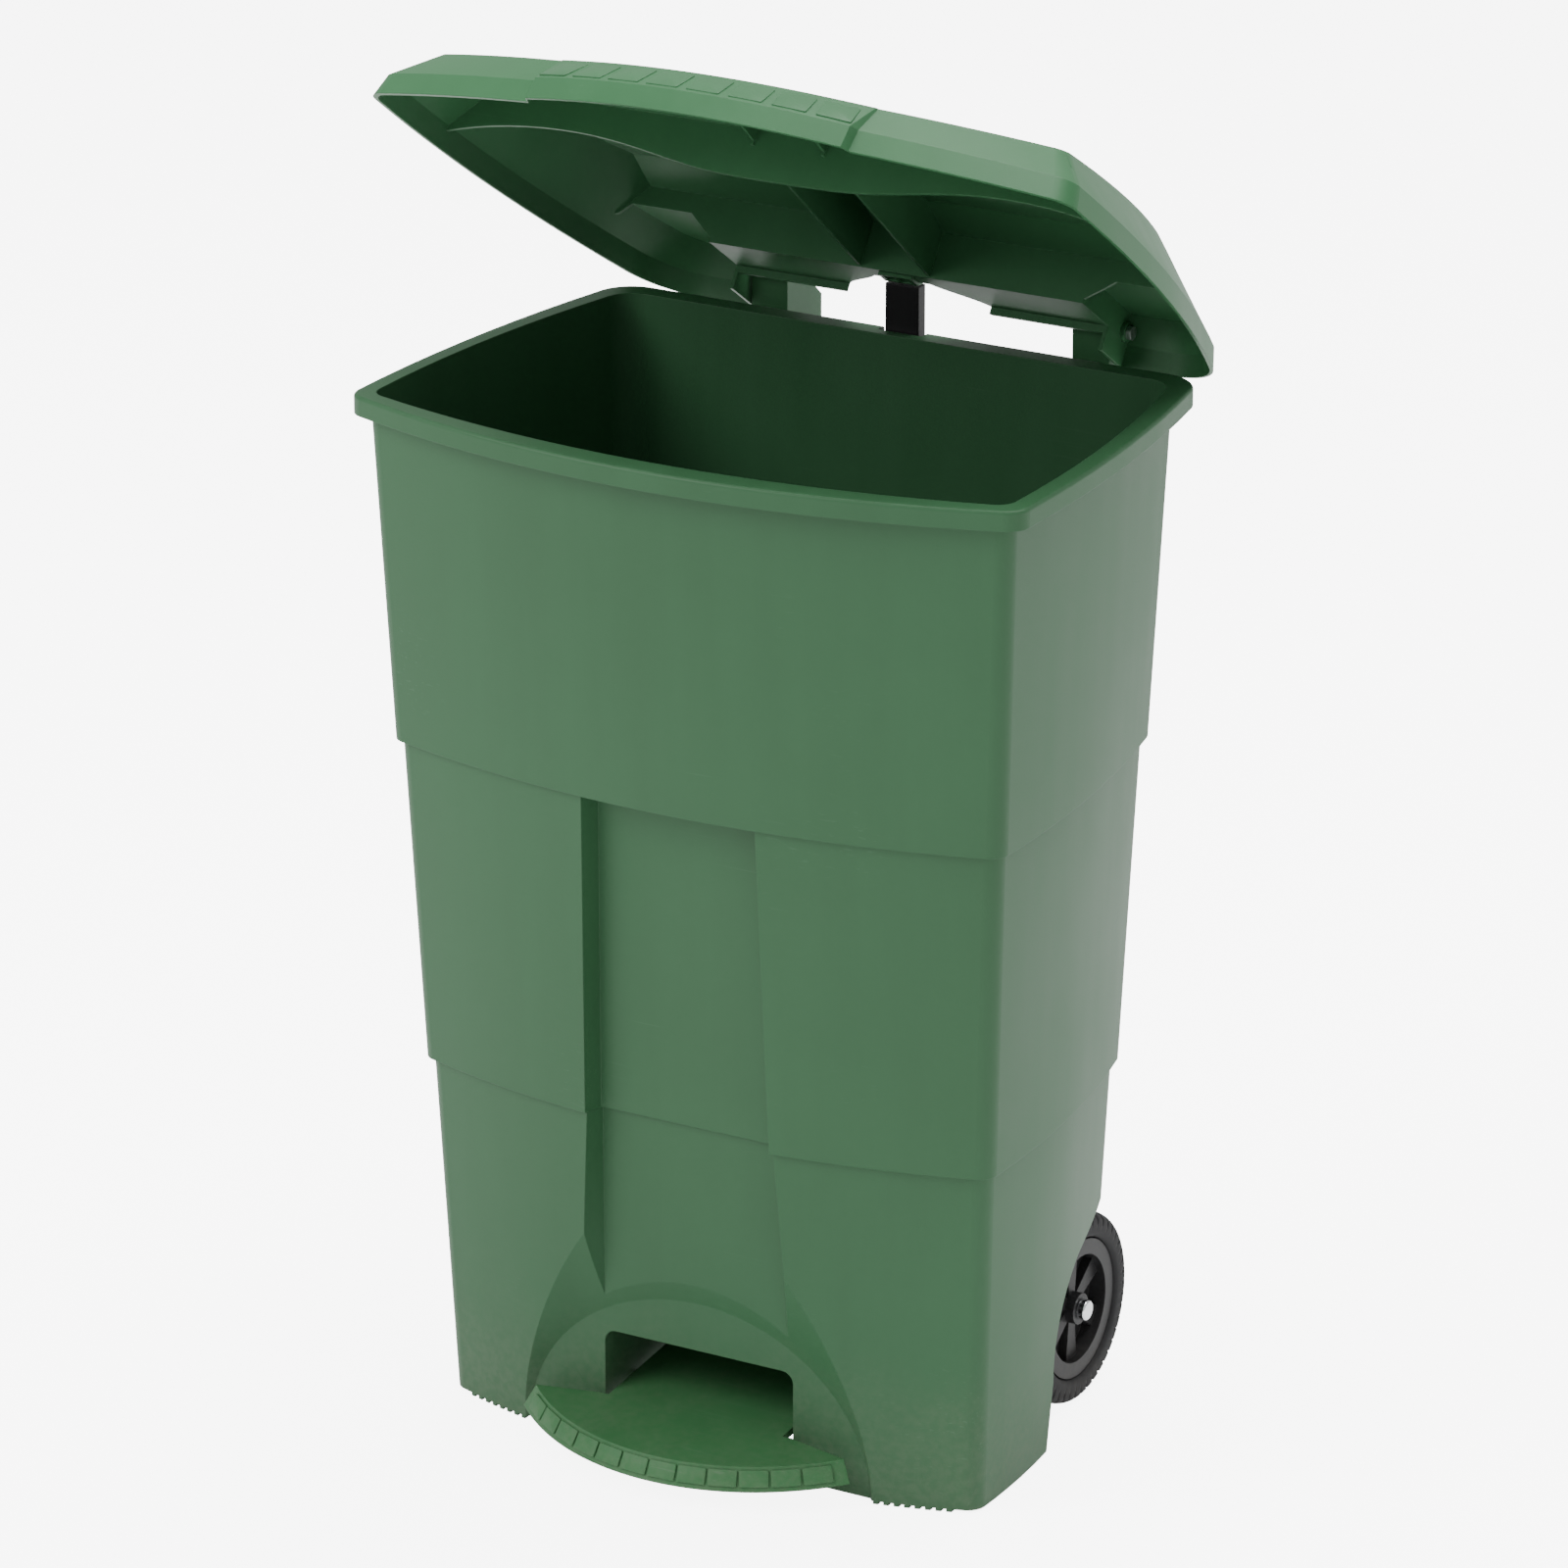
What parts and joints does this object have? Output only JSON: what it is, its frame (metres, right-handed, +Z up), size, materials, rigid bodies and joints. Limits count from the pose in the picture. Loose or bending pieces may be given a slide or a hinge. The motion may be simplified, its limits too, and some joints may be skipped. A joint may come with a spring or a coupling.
{
  "type": "wheeled pedal bin",
  "caption": "Tall tapered refuse bin with a hinged domed lid, a foot pedal that lifts it through a push rod, and a pair of wheels at the back.",
  "frame": {"origin": "floor level under the centre of the whole part in its stored pose", "axes": "+Z up, +X to the right seen from the front, +Y towards the wheels and the hinge"},
  "size_m": [0.613, 0.5089, 1.1349],
  "materials": {
    "green_tub": "fine-grained moulded green",
    "green_lid": "fine-grained moulded green",
    "green_pedal": "moulded green, worn by feet",
    "black_plastic": "black moulded",
    "wheel_plastic": "charcoal moulded",
    "tyre": "dark grey rubber",
    "bright_cap": "bright plated",
    "galvanised": "zinc plated"
  },
  "bodies": {
    "root": {"body": "green_tub", "hinge_post_right": "green_tub", "hinge_post_left": "green_tub", "handle_bar": "black_plastic", "hinge_pin_right": "galvanised", "hinge_pin_left": "galvanised", "pedal_bracket_right": "galvanised", "pedal_bracket_left": "galvanised", "bracket_screws": "galvanised", "pivot_rod": "galvanised", "pivot_clips": "galvanised", "rod_guide_lower": "black_plastic", "rod_guide_upper": "black_plastic", "guide_screws": "galvanised", "axle": "galvanised", "axle_cap_right": "bright_cap", "axle_cap_left": "bright_cap", "wheel_spacer_right": "black_plastic", "wheel_spacer_left": "black_plastic"},
    "lid": {"lid": "green_lid", "lift_clip": "green_lid"},
    "pedal": {"pedal": "green_pedal", "pedal_lever": "galvanised", "pedal_screws": "galvanised"},
    "push_rod": {"push_rod": "black_plastic", "rod_pin": "galvanised"},
    "wheel_right": {"wheel_right": "wheel_plastic", "tyre_right": "tyre"},
    "wheel_left": {"wheel_left": "wheel_plastic", "tyre_left": "tyre"}
  },
  "joints": [
    {"name": "lid_hinge", "type": "hinge", "parent": "root", "child": "lid", "pos_m": [0, 0.213, 0.86], "axis": [-1, 0, 0], "range_deg": [-34.6, 15.4]},
    {"name": "rod_slide", "type": "slide", "parent": "root", "child": "push_rod", "axis": [0, 0, 1], "range_m": [-0.03432, 0.01539]},
    {"name": "pedal_pivot", "type": "hinge", "parent": "root", "child": "pedal", "pos_m": [0, -0.122, 0.034], "axis": [1, 0, 0], "range_deg": [-6.97, 3.13]},
    {"name": "wheel_right_spin", "type": "hinge", "parent": "root", "child": "wheel_right", "pos_m": [0, 0.0805, 0.08], "axis": [1, 0, 0], "continuous": true},
    {"name": "wheel_left_spin", "type": "hinge", "parent": "root", "child": "wheel_left", "pos_m": [0, 0.0805, 0.08], "axis": [1, 0, 0], "continuous": true}
  ],
  "couplings": [
    {"joint": "rod_slide", "follows": "lid_hinge", "m_per_rad": 0.0565},
    {"joint": "pedal_pivot", "follows": "lid_hinge", "ratio": 0.2}
  ]
}
